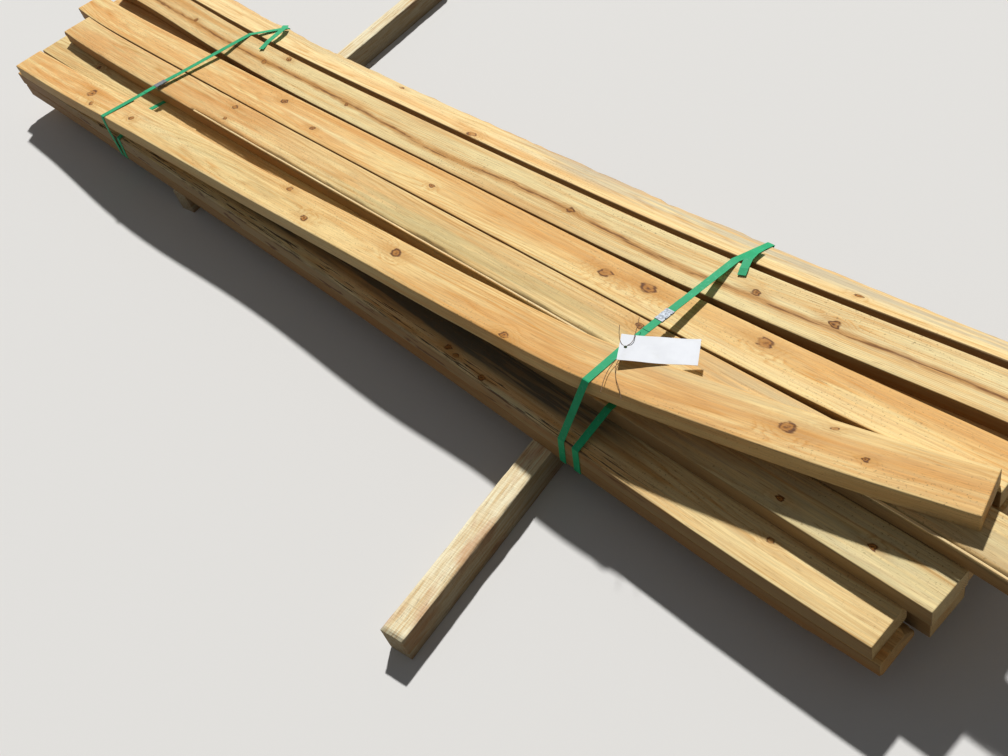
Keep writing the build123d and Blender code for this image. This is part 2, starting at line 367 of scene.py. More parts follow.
def late_wood(tree, radius):
    """Late wood darkens slowly through each ring and ends more quickly."""
    rings = add(tree, "Math", [radius, ring_gap], operation="DIVIDE")
    rings = add(tree, "Math", [rings], operation="FRACT")
    late = add(tree, "ValToRGB", [rings])
    elements = late.color_ramp.elements
    elements[0].position, elements[1].position = 0.42, 1.0
    elements.new(0.82)
    for element, grey in zip(elements, (0.0, 1.0, 0.0)):
        element.color = (grey, grey, grey, 1)
    return late


print("rings across a stud's thickness:", round(stud_thickness / ring_gap))

# %% [markdown]
# Weather and treatment lie over the grain. A veil is a cloudy patch over a stretch of a face: green
# treatment, blue stain or a warmer patch, and on one stud a painted shadow and a painted sunlit strip. Checks
# are the short dark cracks of wood that dried fast, and they lie along the fibres. The narrow faces of a stud
# are painted darker, as painted shade. Painting them as masks by position keeps each at its place on the stud
# when the stud bends.

# %% Veils, checks and narrow faces
veil_edges = (0.2, 0.02)


def lay_veil(tree, place, tone, seed, veil):
    """A cloudy stain, painted shade or painted light, given as from, to, low, high, colour and share.

    A share above 1 fills the gaps too.
    """
    start, stop, low, high, tint, share = veil
    apart = add(tree, "SeparateXYZ", [place])
    sides = []
    for out, near, far, soft in ((0, start, stop, veil_edges[0]), (1, low, high, veil_edges[1])):
        sides.append(between(tree, apart.outputs[out], near - soft, near + soft, far - soft, far + soft))
    mask = add(tree, "Math", sides, operation="MULTIPLY")
    cloud = stretched_noise(tree, place, (3.0, 60.0, 30.0), (start, 0.0, seed), detail=4.0)
    return stain(tree, tone, mask, cloud, (0.34, 0.6, max(0.0, share - 1), share), tint)


def open_checks(tree, place, tone, seed, check):
    """Dark drying cracks in a strip of a face, given as from, to, low and high."""
    start, stop, low, high = check
    apart = add(tree, "SeparateXYZ", [place])
    mask = between(tree, apart.outputs[0], start, start + 0.2, stop - 0.2, stop)
    for limits in ((high - 0.004, high, 1.0, 0.0), (low, low + 0.003)):
        side = add(tree, "MapRange", [apart.outputs[1], *limits], **smoothly)
        mask = add(tree, "Math", [mask, side], operation="MULTIPLY")
    crack = stretched_noise(tree, place, (10.0, 330.0, 60.0), (seed, 0.0, 0.0), detail=2.5)
    crack = add(tree, "MapRange", [crack, 0.57, 0.63, 0.0, 0.95], **smoothly)
    crack = add(tree, "Math", [crack, mask], operation="MULTIPLY")
    return add(tree, "Mix", {0: crack, 6: tone, 7: "#30200f"}, **in_colour)


def paint_shade_on_narrow_faces(tree, place, tone, shade, share):
    """Painted shade: the two narrow faces, taken a share of the way to a darker colour."""
    half = stud_width / 2
    apart = add(tree, "SeparateXYZ", [place])
    aside = add(tree, "Math", [apart.outputs[1], half], operation="SUBTRACT")
    aside = add(tree, "Math", [aside], operation="ABSOLUTE")
    narrow = add(tree, "MapRange", [aside, half - 0.002, half - 0.0004, 0.0, share], **smoothly)
    return add(tree, "Mix", {0: narrow, 6: tone, 7: shade}, **in_colour)


print("a veil fades out over", veil_edges, "m along and across")

# %% [markdown]
# The fine detail comes on top. Where the saw met the pith, a thin brown line wanders along the face. Fibres
# and short dark resin ducts run along the grain, with tiny specks of mould and dirt between them. Real
# fibres are far finer than a millimetre: here they are drawn about three millimetres wide so that they show.

# %% The pith line, fibres and specks
resin = "#9a6a34"
fibres = 340.0


def draw_heart(tree, place, shaken, tone, seed, heart):
    """The pith itself: a thin wandering brown line with torn fibres beside it."""
    apart = add(tree, "SeparateXYZ", [shaken])
    drift = stretched_noise(tree, place, (1.4, 0.0, 0.0), (seed, 0.0, 0.0), detail=1.0)
    drift = add(tree, "Math", [drift, 0.05, heart - 0.025], operation="MULTIPLY_ADD")
    aside = add(tree, "Math", [apart.outputs[1], drift], operation="SUBTRACT")
    aside = add(tree, "Math", [aside], operation="ABSOLUTE")
    beside = add(tree, "MapRange", [aside, 0.002, 0.012, 0.75, 0.0], **smoothly)
    tone = add(tree, "Mix", {0: beside, 6: tone, 7: "#c98a3e"}, **in_colour)
    broken = stretched_noise(tree, place, (9.0, 200.0, 1.0), detail=3.0)
    thin = add(tree, "MapRange", [aside, 0.0008, 0.0042, 0.95, 0.0], **smoothly)
    broken = add(tree, "MapRange", [broken, 0.4, 0.56], **smoothly)
    line = add(tree, "Math", [thin, broken], operation="MULTIPLY")
    return add(tree, "Mix", {0: line, 6: tone, 7: "#7d4f1e"}, **in_colour)


def draw_fibres(tree, place, tone, seed):
    """Fibres, resin ducts and specks. Gives the colour, and the fibres alone for the relief."""
    fibre = stretched_noise(tree, place, (12.0, fibres, fibres), detail=4.0, roughness=0.7)
    light = add(tree, "MapRange", [fibre, 0.32, 0.68, 0.84, 1.09], **smoothly)
    tone = add(tree, "Mix", {0: 1.0, 6: tone, 7: light}, blend_type="MULTIPLY", **in_colour)
    duct = stretched_noise(tree, place, (26.0, 430.0, 430.0), (seed, 0.0, 0.0), detail=2.0)
    duct = add(tree, "MapRange", [duct, 0.63, 0.74, 0.0, 0.45], **smoothly)
    tone = add(tree, "Mix", {0: duct, 6: tone, 7: resin}, **in_colour)
    speck = stretched_noise(tree, place, (210.0, 260.0, 260.0), (0.0, seed, 0.0), detail=2.0)
    where = stretched_noise(tree, place, (2.2, 18.0, 18.0), (0.0, 0.0, seed), detail=2.0)
    speck = add(tree, "MapRange", [speck, 0.6, 0.7], **smoothly)
    where = add(tree, "MapRange", [where, 0.42, 0.66, 0.08, 0.6], **smoothly)
    speck = add(tree, "Math", [speck, where], operation="MULTIPLY")
    return add(tree, "Mix", {0: speck, 6: tone, 7: "#866a40"}, **in_colour), fibre


print("fibres are drawn", round(1000 / fibres, 1), "mm wide")

# %% [markdown]
# A knot is a branch that the saw cut through. Its wood is a warm brown, round it stands a darker halo drawn
# out along the grain, a dark ring of bark is broken here and there, and the middle has cracked as it dried.
# All of these are bands of one distance, counted in the knot's own radii, and one coarse noise breaks them
# up.

# %% Knots
halo_reach = 2.6


def draw_knots(tree, place, tone, seed, nearest, halo, streak):
    """The halo, the core, the broken ring of bark and the cracked middle of every knot."""
    around = add(tree, "MapRange", [halo, 0.5, halo_reach, 0.5, 0.0], **smoothly)
    tone = stain(tree, tone, around, streak, (0.3, 0.6, 0.45, 1.0), "#c58a3c")
    crumbs = stretched_noise(tree, place, (55.0, 90.0, 60.0), (seed, seed, 0.0), detail=3.0)
    core = add(tree, "MapRange", [nearest, 0.8, 1.15, 1.0, 0.0], **smoothly)
    tone = stain(tree, tone, core, crumbs, (0.3, 0.6, 0.6, 0.95), "#b4752a")
    ring = between(tree, nearest, 0.55, 0.85, 0.95, 1.3)
    tone = stain(tree, tone, ring, crumbs, (0.38, 0.52, 0.25, 1.0), "#643a0c")
    crack = add(tree, "MapRange", [nearest, 0.05, 0.6, 1.0, 0.0], **smoothly)
    return stain(tree, tone, crack, crumbs, (0.46, 0.56, 0.2, 1.0), "#5a340c")


print("a knot's halo reaches", halo_reach, "radii")

# %% [markdown]
# Now the parts make one material. The rings and streaks come first, then the broad warm bands of heartwood
# and the paler sapwood between them, and then everything that lies over them. Planed softwood has an IOR
# near 1.5 and is matt. An end takes up dirt and water, so it is darker, with the late wood standing out.

# %% Pine
pine_matt = (0.55, 0.75)


def make_pine(
    name, seed, pale, deep, pith=(0.04, -0.03), knots=(), veils=(), checks=(), warm=0.5, heart=None,
    bark="#6f4f2e", edges=("#68421f", 0.75), end=False,
):
    """Dressed pine, with all lengths in metres.

    Pale and deep are early and late wood, and pith is where the pith line lies across and up. Warm is the
    share of heartwood, heart is where the pith shows on the face, and bark is the colour of torn wood; in a
    split it is painted shade. Edges is the colour and share of the painted shade on the narrow faces. End
    makes end grain.
    """
    material, tree, output = new_material(name)
    place = add(tree, "Attribute", attribute_name="place").outputs["Vector"]
    torn = add(tree, "Attribute", attribute_name="torn").outputs["Fac"]
    shake = stretched_noise(tree, place, (24.0, 130.0, 60.0), (seed, seed, 0.0), detail=2.0)
    shake = add(tree, "VectorMath", [shake.outputs["Color"], (0.5, 0.5, 0.5)], operation="SUBTRACT")
    radius = ring_distance(tree, place, seed, pith)
    shaken = add(tree, "VectorMath", [shake, (0.02, 0.011, 0.0), place], operation="MULTIPLY_ADD")
    radius, nearest, halo = bend_round_knots(tree, shaken, radius, knots)

    late = late_wood(tree, radius)
    strength = stretched_noise(tree, place, (2.5, 40.0, 40.0), (seed, 0.0, seed), detail=2.0)
    strength = add(tree, "MapRange", [strength, 0.35, 0.7, 0.1, 0.7], **smoothly)
    lateness = add(tree, "Math", [late, strength], operation="MULTIPLY")
    streaks = (1.6, 60.0, 50.0)
    streak = stretched_noise(tree, place, streaks, (seed * 1.7, seed, seed), detail=4.0, roughness=0.62)
    streaky = add(tree, "MapRange", [streak, 0.42, 0.7, 0.0, 0.6], **smoothly)
    lateness = add(tree, "Math", [streaky, lateness], operation="ADD")
    tone = add(tree, "Mix", {0: lateness, 6: pale, 7: deep}, **in_colour)

    band = stretched_noise(tree, place, (0.9, 19.0, 15.0), (seed, seed * 2.3, 1.0), detail=3.0)
    heartwood = add(tree, "MapRange", [band, 0.46, 0.68, 0.0, warm], **smoothly)
    tone = add(tree, "Mix", {0: heartwood, 6: tone, 7: "#dd9a4a"}, **in_colour)
    sapwood = add(tree, "MapRange", [band, 0.44, 0.28, 0.0, 0.35], **smoothly)
    tone = add(tree, "Mix", {0: sapwood, 6: tone, 7: "#fdeab4"}, **in_colour)
    for veil in veils:
        tone = lay_veil(tree, place, tone, seed, veil)
    for check in checks:
        tone = open_checks(tree, place, tone, seed, check)
    # The narrow faces get painted shade.
    tone = paint_shade_on_narrow_faces(tree, place, tone, *edges)
    if heart:
        tone = draw_heart(tree, place, shaken, tone, seed, heart)
    tone, fibre = draw_fibres(tree, place, tone, seed)
    if knots:
        tone = draw_knots(tree, place, tone, seed, nearest, halo, streak)
    bare = add(tree, "MapRange", [torn, 0.1, 0.9, 0.0, 0.55], **smoothly)
    tone = add(tree, "Mix", {0: bare, 6: tone, 7: bark}, **in_colour)
    if end:
        tone = add(tree, "Mix", {0: 0.45, 6: tone, 7: "#8f7048"}, **in_colour)
        standing_out = add(tree, "Math", [late, 0.5], operation="MULTIPLY")
        tone = add(tree, "Mix", {0: standing_out, 6: tone, 7: "#6e4a28"}, **in_colour)

    relief = add(tree, "Math", [late, 0.4, fibre], operation="MULTIPLY_ADD")
    bump = add(tree, "Bump", {"Strength": 0.4, "Distance": 0.0008, "Height": relief})
    shine = add(tree, "MapRange", [fibre, 0.2, 0.8, *pine_matt], **smoothly)
    finish = {"Base Color": tone, "Roughness": shine, "IOR": 1.5, "Specular IOR Level": 0.22, "Normal": bump}
    wood = add(tree, "BsdfPrincipled", finish)
    tree.links.new(wood.outputs[0], output.inputs[0])
    return material


print("roughness of planed pine:", pine_matt)

# %% [markdown]
# The studs come from different logs, so each has its own look: how warm it is, where its knots are, where it
# is stained and where it has dried open, and where shade and light are painted on it. Lengths run from the
# left end and widths from the near edge, in millimetres, as one would measure them on the stud itself. A knot
# is along, across and radius. A veil is from, to, low, high, colour and share, and a check is from, to, low
# and high.

# %% The look of each stud
olive, grey_green, blue_stain, painted_shadow_grey = "#c8b880", "#cbc198", "#b3b0a0", "#5e594a"
looks = {
    "stud_loose": dict(
        seed=3.0,
        pale="#fadb98",
        deep="#dca254",
        pith=(0.03, -0.045),
        knots=(
            (478, 49, 13), (534, 19, 7), (746, 37, 6), (1419, 75, 6), (1545, 26, 8), (1836, 55, 9),
            (2203, 10, 7), (2750, 48, 10), (2815, 72, 4), (2878, 37, 4),
        ),
        veils=(
            (900, 1500, 20, 70, olive, 0.35),
            (2350, 2750, 55, 90, grey_green, 0.45),
            (0, 700, -5, 95, "#e19c4e", 0.7),
            (2100, 3100, -5, 70, "#dc9f56", 0.75),
        ),
        # Painted shade on the narrow faces, lighter and cooler on this stud.
        edges=("#9c8a68", 0.4),
    ),
    "stud_top_1": dict(
        seed=8.0,
        pale="#f6d898",
        deep="#d2a058",
        pith=(0.05, -0.03),
        knots=((914, 69, 6), (930, 27, 5), (2300, 70, 6)),
        veils=(
            (1350, 2350, 0, 62, olive, 0.6),
            (2450, 3100, 0, 90, grey_green, 0.6),
            (0, 1200, -5, 95, "#dc9a50", 0.65),
        ),
        # Its torn near arris is painted near black: painted shade in the split beside the splinter.
        bark="#24180b",
    ),
    "stud_top_2": dict(
        seed=14.0,
        pale="#fde09c",
        deep="#dfa354",
        pith=(0.05, -0.05),
        knots=((1113, 63, 7), (1280, 30, 6), (1728, 40, 5), (2241, 45, 10), (2337, 59, 11), (2596, 64, 10)),
        veils=((0, 1500, -5, 95, "#e6a254", 0.6), (1900, 3100, 25, 95, "#e8ae62", 0.45)),
        warm=0.6,
    ),
    "stud_top_3": dict(
        seed=21.0,
        pale="#ffe9ac",
        deep="#ecb467",
        pith=(0.042, 0.03),
        knots=(
            (484, 44, 6), (890, 39, 7), (961, 79, 6), (1272, 39, 4), (2041, 44, 6), (2492, 46, 6),
            (2650, 46, 7),
        ),
        heart=0.038,
        veils=((0, 900, -5, 95, "#e8ab5e", 0.4),),
        warm=0.6,
    ),
    "stud_edge": dict(
        seed=29.0,
        pale="#fde2a4",
        deep="#daa75e",
        knots=((1335, 66, 5), (1663, 12, 8), (2650, 30, 5)),
        veils=((1800, 3050, 35, 90, blue_stain, 0.6), (600, 1500, 50, 90, grey_green, 0.4)),
    ),
    "stud_third_1": dict(
        seed=33.0,
        pale="#f4da9a",
        deep="#c99a56",
        knots=((2767, 28, 5), (2925, 40, 5), (300, 50, 6)),
        veils=((2300, 3100, 0, 90, grey_green, 0.6), (0, 3100, 0, 90, olive, 0.2)),
    ),
    "stud_second_1": dict(
        seed=41.0,
        pale="#f8dea0",
        deep="#cf9c54",
        knots=((2071, 24, 6), (2102, 19, 5), (2191, 12, 6), (2831, 60, 5)),
        # The first veil is a painted shadow of the studs above; the second is a painted sunlit strip along
        # the near arris.
        veils=((-300, 2450, 38, 110, painted_shadow_grey, 1.85), (300, 2500, -30, 26, "#fff0bd", 0.8)),
        checks=((250, 2700, -10, 30),),
    ),
    "stud_bottom_1": dict(seed=47.0, pale="#ecc887", deep="#b98648", warm=0.7),
}
print("studs with a look of their own:", len(looks))

# %% [markdown]
# Five studs show wane or a torn arris, in metres and in the order of the cell on wane. With that, every stud
# is swept, gets its two materials and takes the place of its plain node. The hidden studs share one plain
# look with different seeds.

# %% Dress the studs
wanes = {
    "stud_second_1": ((-1, 1, 0.9, 2.45, 0.0045, 0.9),),
    "stud_bottom_1": ((1, 1, 2.75, 3.2, 0.03, 0.9), (-1, -1, 2.9, 3.2, 0.008, 0.9)),
    "stud_edge": ((1, 1, 0.2, 3.2, 0.008, 0.9),),
    "stud_top_1": ((-1, 1, 0.78, 3.2, 0.0105, 0.3), (-1, 1, 0.1, 0.8, 0.004, 0.9)),
    "stud_third_4": ((1, 1, 1.2, 2.6, 0.012, 0.9),),
}


def in_metres(rows, count):
    """Rows whose first few numbers are millimetres, with those numbers in metres."""
    return [tuple(part / 1000 for part in row[:count]) + row[count:] for row in rows]


for number, name in enumerate(stud_names):
    look = dict(looks.get(name, dict(seed=60.0 + 5 * number, pale="#f4d394", deep="#cd984e")))
    for key, count in (("knots", 3), ("checks", 4), ("veils", 4)):
        look[key] = in_metres(look.get(key, ()), count)
    seed, worn = look["seed"], wanes.get(name, ())
    piece = sweep(name + "_wood", courses[name], stud_width, stud_thickness, seed, wanes=worn)
    piece.data.materials.append(make_pine(name + "_pine", **look))
    piece.data.materials.append(make_pine(name + "_end_grain", end=True, **look))
    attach(piece, "root")
    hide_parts(name)
print("studs dressed:", len(stud_names))

# %% [markdown]
# The crooked stud's neighbour split along its near edge when it dried. The splinter is still there, a thin
# bar beside the stud with a gap between, so it is a piece of its own that follows the same course. The gap
# looks dark from painted shade on the stud's torn arris.
# Fresh split wood has seen less weather, so it is paler than the stud.

# %% The splinter along the split stud
split_station = 34
splinter_width, splinter_thickness = 0.0042, 0.0032
splinter_shift = (-0.0424, 0.0174)
split = courses["stud_top_1"][split_station:-1]
splinter = sweep(
    "splinter", split, splinter_width, splinter_thickness, 9.0,
    arris=0.0008, steps=(3, 3), rough=0.0006, shift=splinter_shift,
)
# The splinter's narrow faces get a little painted shade.
fresh = make_pine("splinter_pine", 8.0, "#fae2ae", "#dcb070", edges=("#e2bb7c", 0.2))
for faces in ("sides", "ends"):
    splinter.data.materials.append(fresh)
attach(splinter, "root")
print("splinter stations:", len(split))

# %% [markdown]
# The bearers are rough sawn and have lain outdoors, with pale torn fibres and reddish streaks. Their sides
# are painted darker than their tops, as painted shade, so the colour asks which way a face looks. The marks
# of the saw blade run across the grain, and like the fur of the fibres they are fine enough to be a bump.

# %% Rough sawn softwood
def make_sawn(name):
    """Rough sawn softwood that has lain outdoors."""
    material, tree, output = new_material(name)
    place = add(tree, "Attribute", attribute_name="place").outputs["Vector"]
    grain = stretched_noise(tree, place, (7.0, 160.0, 160.0), detail=4.0, roughness=0.65)
    grain = add(tree, "MapRange", [grain, 0.35, 0.7], **smoothly)
    tone = add(tree, "Mix", {0: grain, 6: "#fdf3cf", 7: "#e0c08a"}, **in_colour)
    patch = stretched_noise(tree, place, (9.0, 30.0, 30.0), (3.0, 0.0, 0.0), detail=3.0)
    for low, high, tint in ((0.5, 0.68, "#c98a58"), (0.42, 0.3, "#fff4d2")):
        streak = add(tree, "MapRange", [patch, low, high, 0.0, 0.6], **smoothly)
        tone = add(tree, "Mix", {0: streak, 6: tone, 7: tint}, **in_colour)
    furrow = stretched_noise(tree, place, (30.0, 500.0, 500.0), detail=3.0, roughness=0.7)
    deep = add(tree, "MapRange", [furrow, 0.58, 0.72, 0.0, 0.7], **smoothly)
    tone = add(tree, "Mix", {0: deep, 6: tone, 7: "#6d4a2c"}, **in_colour)
    # Painted shade: faces that do not look up are darker.
    facing = add(tree, "NewGeometry").outputs["Normal"]
    facing = add(tree, "SeparateXYZ", [facing])
    side = add(tree, "MapRange", [facing.outputs[2], 0.75, 0.35, 0.0, 0.6], **smoothly)
    tone = add(tree, "Mix", {0: side, 6: tone, 7: "#6e563c"}, **in_colour)
    saw = stretched_noise(tree, place, (330.0, 14.0, 14.0), detail=1.0)
    relief = add(tree, "Math", [saw, furrow], operation="ADD")
    bump = add(tree, "Bump", {"Strength": 0.6, "Distance": 0.0014, "Height": relief})
    finish = {"Base Color": tone, "Roughness": 0.85, "IOR": 1.5, "Specular IOR Level": 0.25, "Normal": bump}
    wood = add(tree, "BsdfPrincipled", finish)
    tree.links.new(wood.outputs[0], output.inputs[0])
    return material


sawn = make_sawn("rough_sawn_softwood")
print("nodes in the sawn wood:", len(sawn.node_tree.nodes))

# %% [markdown]
# A bearer is straight, so its two ends give its course. It is swept like a stud, with far more roughness and
# with ragged upper arrises, where the saw and the weather tore them.

# %% Bearers
bearer_wanes = ((1, 1, 0.0, 1.2, 0.002, 0.9), (-1, 1, 0.0, 1.2, 0.003, 0.9))
end_slice = 0.02


def bearer_course(node, count=70):
    """Even steps along a bearer's own axis, and its width and height."""
    spots = [vert.co for vert in node.data.vertices]
    near, far = extent(spot.y for spot in spots)
    near_end = [spot for spot in spots if spot.y < near + end_slice]
    far_end = [spot for spot in spots if spot.y > far - end_slice]
    ends = [sum(group, Vector()) / len(group) for group in (near_end, far_end)]
    along = (ends[1] - ends[0]).normalized()
    side = along.cross(Vector((0, 0, 1)))
    left, right = extent(spot.dot(side) for spot in spots)
    start, stop = extent(spot.dot(along) for spot in spots)
    bottom, top = extent(spot.z for spot in spots)
    middle = (right + left) / 2
    height = (top + bottom) / 2
    points = [side * middle + along * (start + (stop - start) * i / (count - 1)) for i in range(count)]
    return [(Vector((p.x, p.y, height)), 0.0) for p in points], right - left, top - bottom


for number, name in enumerate(("bearer_near", "bearer_far")):
    course, width, height = bearer_course(nodes[name])
    piece = sweep(name + "_wood", course, width, height, 5.0 + number, 0.0015, (10, 10), 0.0007, bearer_wanes)
    for faces in ("sides", "ends"):
        piece.data.materials.append(sawn)
    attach(piece, "root")
    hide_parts(name)
    print(name, "is", round(width, 4), "by", round(height, 4))

# %% [markdown]
# Green strapping is extruded polyester with a fine waffle embossed in it. New it is glossy, but this
# strapping is scuffed and half matt. The waffle's cells are under two millimetres wide, so they are a bump
# of that real size. The Chebychev distance makes the cells square.

# %% Strapping
waffle = 560.0


def make_strapping(name):
    """Embossed green polyester strapping."""
    material, tree, output = new_material(name)
    place = add(tree, "TexCoord").outputs["Object"]
    cells = add(tree, "TexVoronoi", {"Vector": place, "Scale": waffle}, feature="F1", distance="CHEBYCHEV")
    bump = add(tree, "Bump", {"Strength": 0.4, "Distance": 0.0004, "Height": cells.outputs["Distance"]})
    cloud = stretched_noise(tree, place, (30.0, 30.0, 30.0))
    green = add(tree, "Mix", {0: cloud, 6: "#06935a", 7: "#20b47c"}, **in_colour)
    scuff = stretched_noise(tree, place, (160.0, 160.0, 160.0), detail=4.0)
    scuff = add(tree, "MapRange", [scuff, 0.55, 0.75, 0.0, 0.3], **smoothly)
    green = add(tree, "Mix", {0: scuff, 6: green, 7: "#7fd0ae"}, **in_colour)
    finish = {"Base Color": green, "Roughness": 0.62, "IOR": 1.57, "Specular IOR Level": 0.22, "Normal": bump}
    plastic = add(tree, "BsdfPrincipled", finish)
    tree.links.new(plastic.outputs[0], output.inputs[0])
    return material


strapping = make_strapping("green_polyester")
print("waffle cells are", round(1000 / waffle, 2), "mm wide")

# %% [markdown]
# The seals are crimped from zinc-plated steel strip: a dull grey metal with faint marks. The card is white
# and coated, a little smeared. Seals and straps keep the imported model's own shapes and only take on
# their materials. The card is shaped in the next step and brings its material along.

# %% Seals and card
def make_zinc(name):
    """Zinc-plated steel strip, crimped."""
    material, tree, output = new_material(name)
    place = add(tree, "TexCoord").outputs["Object"]
    marks = stretched_noise(tree, place, (220.0, 220.0, 220.0))
    bump = add(tree, "Bump", {"Strength": 0.04, "Distance": 0.0002, "Height": marks})
    dull = add(tree, "MapRange", [marks, 0.4, 0.7], **smoothly)
    tone = add(tree, "Mix", {0: dull, 6: "#6e7276", 7: "#5f6367"}, **in_colour)
    shine = add(tree, "MapRange", [marks, 0.3, 0.7, 0.5, 0.62], **smoothly)
    finish = {"Base Color": tone, "Metallic": 1.0, "Roughness": shine, "Normal": bump}
    metal = add(tree, "BsdfPrincipled", finish)
    tree.links.new(metal.outputs[0], output.inputs[0])
    return material


def make_card(name):
    """White coated card."""
    material, tree, output = new_material(name)
    place = add(tree, "TexCoord").outputs["Object"]
    pulp = stretched_noise(tree, place, (60.0, 60.0, 60.0), detail=4.0)
    white = add(tree, "Mix", {0: pulp, 6: "#e6e8eb", 7: "#d9dbe0"}, **in_colour)
    smear = stretched_noise(tree, place, (25.0, 25.0, 25.0), (4.0, 0.0, 0.0))
    smear = add(tree, "MapRange", [smear, 0.55, 0.8, 0.0, 0.3], **smoothly)
    white = add(tree, "Mix", {0: smear, 6: white, 7: "#c9c6bb"}, **in_colour)
    bump = add(tree, "Bump", {"Strength": 0.1, "Distance": 0.0002, "Height": pulp})
    paper = add(tree, "BsdfPrincipled", {"Base Color": white, "Roughness": 0.55, "IOR": 1.5, "Normal": bump})
    tree.links.new(paper.outputs[0], output.inputs[0])
    return material


finishes = {"strap": strapping, "seal": make_zinc("zinc_plated_steel"), "tag": make_card("white_card")}
for name, node in nodes.items():
    finish = finishes.get(name.split("_")[0])
    if finish:
        node.data.materials.clear()
        node.data.materials.append(finish)
        print(name, "is", finish.name)

# %% [markdown]
# The card is stiff and does not lie flat: its holed end is held up by the strap and the wire, and its other
# end dips over the crooked stud's far arris. So the flat card of the model is copied, cut into narrow strips
# so that it can bend, bent a little, and tilted about its middle.

# %% The tag, tilted and bent
def turned(spin, dip, roll):
    """A turn by three angles in degrees: in plan, down towards the far end, and sideways."""
    parts = [Matrix.Rotation(math.radians(a), 4, axis) for a, axis in ((spin, "Z"), (dip, "Y"), (roll, "X"))]
    return parts[0] @ parts[1] @ parts[2]


flat_direction = (0.91, 0.4147)
flat_spin = math.degrees(math.atan2(flat_direction[1], flat_direction[0]))
tag_length = 0.135
tag_strips = 20
tag_bend, tag_ripple = 0.0022, 0.0006
tag_middle = Vector((0.9315, -0.1540, 0.2594))
tag_turn = turned(33.0, 6.5, 2.0)
tag_node = nodes["tag"]
spots = [vert.co for vert in tag_node.data.vertices]
flat_middle = Vector([sum(extent(spot[k] for spot in spots)) / 2 for k in range(3)])
tag_data = tag_node.data.copy()
mesh = bmesh.new()
mesh.from_mesh(tag_data)
bmesh.ops.triangulate(mesh, faces=mesh.faces[:])
mesh.transform(Matrix.Rotation(math.radians(-flat_spin), 4, "Z") @ Matrix.Translation(-flat_middle))
for k in range(1 - tag_strips // 2, tag_strips // 2):
    everything = mesh.verts[:] + mesh.edges[:] + mesh.faces[:]
    cut_at = (k * tag_length / tag_strips, 0, 0)
    bmesh.ops.bisect_plane(mesh, geom=everything, plane_co=cut_at, plane_no=(1, 0, 0))
for vert in mesh.verts:
    share = vert.co.x / (tag_length / 2)
    vert.co.z += tag_bend * (share * share - 0.4) + tag_ripple * math.sin(share * 5 + vert.co.y * 60)
mesh.transform(Matrix.Translation(tag_middle) @ tag_turn)
mesh.to_mesh(tag_data)
mesh.free()
tag_card = bpy.data.objects.new("tag_card", tag_data)
scene.collection.objects.link(tag_card)
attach(tag_card, "root")
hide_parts("tag")
print("tag points:", len(tag_data.vertices))

# %% [markdown]
# Thin soft wire ties the card to the strap. Its ends were never cut, so they curl away above and below the
# card. Annealed steel wire is brown with a film of rust. Each wire is a smooth curve through a few points,
# given a round section and turned into a mesh.

# %% Wire
wire_radius = 0.0006


def tube(name, points, radius):
    """A round tube through points, smoothed by a spline."""
    curve = bpy.data.curves.new(name, "CURVE")
    curve.dimensions = "3D"
    curve.bevel_depth = radius
    curve.bevel_resolution = 2
    curve.use_fill_caps = True
    curve.resolution_u = 10
    spline = curve.splines.new("BEZIER")
    spline.bezier_points.add(len(points) - 1)
    for knot, point in zip(spline.bezier_points, points):
        knot.co = point
        knot.handle_left_type = knot.handle_right_type = "AUTO"
    holder = bpy.data.objects.new(name + "_curve", curve)
    data = bpy.data.meshes.new_from_object(holder)
    data.name = name
    bpy.data.objects.remove(holder)
    piece = bpy.data.objects.new(name, data)
    scene.collection.objects.link(piece)
    return piece


def make_wire(name):
    """Annealed steel wire."""
    material, tree, output = new_material(name)
    place = add(tree, "TexCoord").outputs["Object"]
    film = stretched_noise(tree, place, (300.0, 300.0, 300.0))
    tone = add(tree, "Mix", {0: film, 6: "#6e5136", 7: "#3d2d20"}, **in_colour)
    metal = add(tree, "BsdfPrincipled", {"Base Color": tone, "Metallic": 0.6, "Roughness": 0.55})
    tree.links.new(metal.outputs[0], output.inputs[0])
    return material


wire = make_wire("annealed_wire")
print("wire is", 2000 * wire_radius, "mm thick")

# %% [markdown]
# Both wires go through the card's hole, and their points are given in the card's own directions, so they
# move with it. Two limits then act in the bundle's directions. The dressed bundle may stand only a little
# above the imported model, so no wire rises past a ceiling. On the near side the wires lie on the crooked
# stud, so there they stay above its top.

# %% The tag's two wires
wire_ceiling = 0.2700
over_stud_y = -0.16
stud_top = max(vert.co.z for vert in nodes["stud_loose"].data.vertices)
hole_end = -0.0565
runs = {
    "wire_long": (
        (-0.042, 0.066, 0.004), (-0.044, 0.030, 0.003), (-0.047, 0.010, 0.003), (hole_end, 0.001, 0.0),
        (-0.062, -0.012, -0.006), (-0.068, -0.034, -0.008), (-0.064, -0.062, -0.006),
        (-0.054, -0.088, -0.004), (-0.048, -0.108, -0.002),
    ),
    "wire_short": (
        (-0.074, 0.048, 0.003), (-0.071, 0.026, 0.002), (-0.064, 0.006, 0.002), (hole_end, -0.001, 0.0),
        (-0.066, -0.016, -0.005), (-0.078, -0.040, -0.008), (-0.083, -0.066, -0.006),
        (-0.084, -0.096, -0.003),
    ),
}
for name, points in runs.items():
    placed = [tag_middle + tag_turn @ Vector(point) for point in points]
    for spot in placed:
        spot.z = min(spot.z, wire_ceiling)
        if spot.y < over_stud_y:
            spot.z = max(spot.z, stud_top + 2 * wire_radius)
    piece = tube(name, placed, wire_radius)
    piece.data.materials.append(wire)
    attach(piece, "root")
    length = sum((b - a).length for a, b in zip(placed, placed[1:]))
    print(name, "is", round(1000 * length), "mm long from point to point")

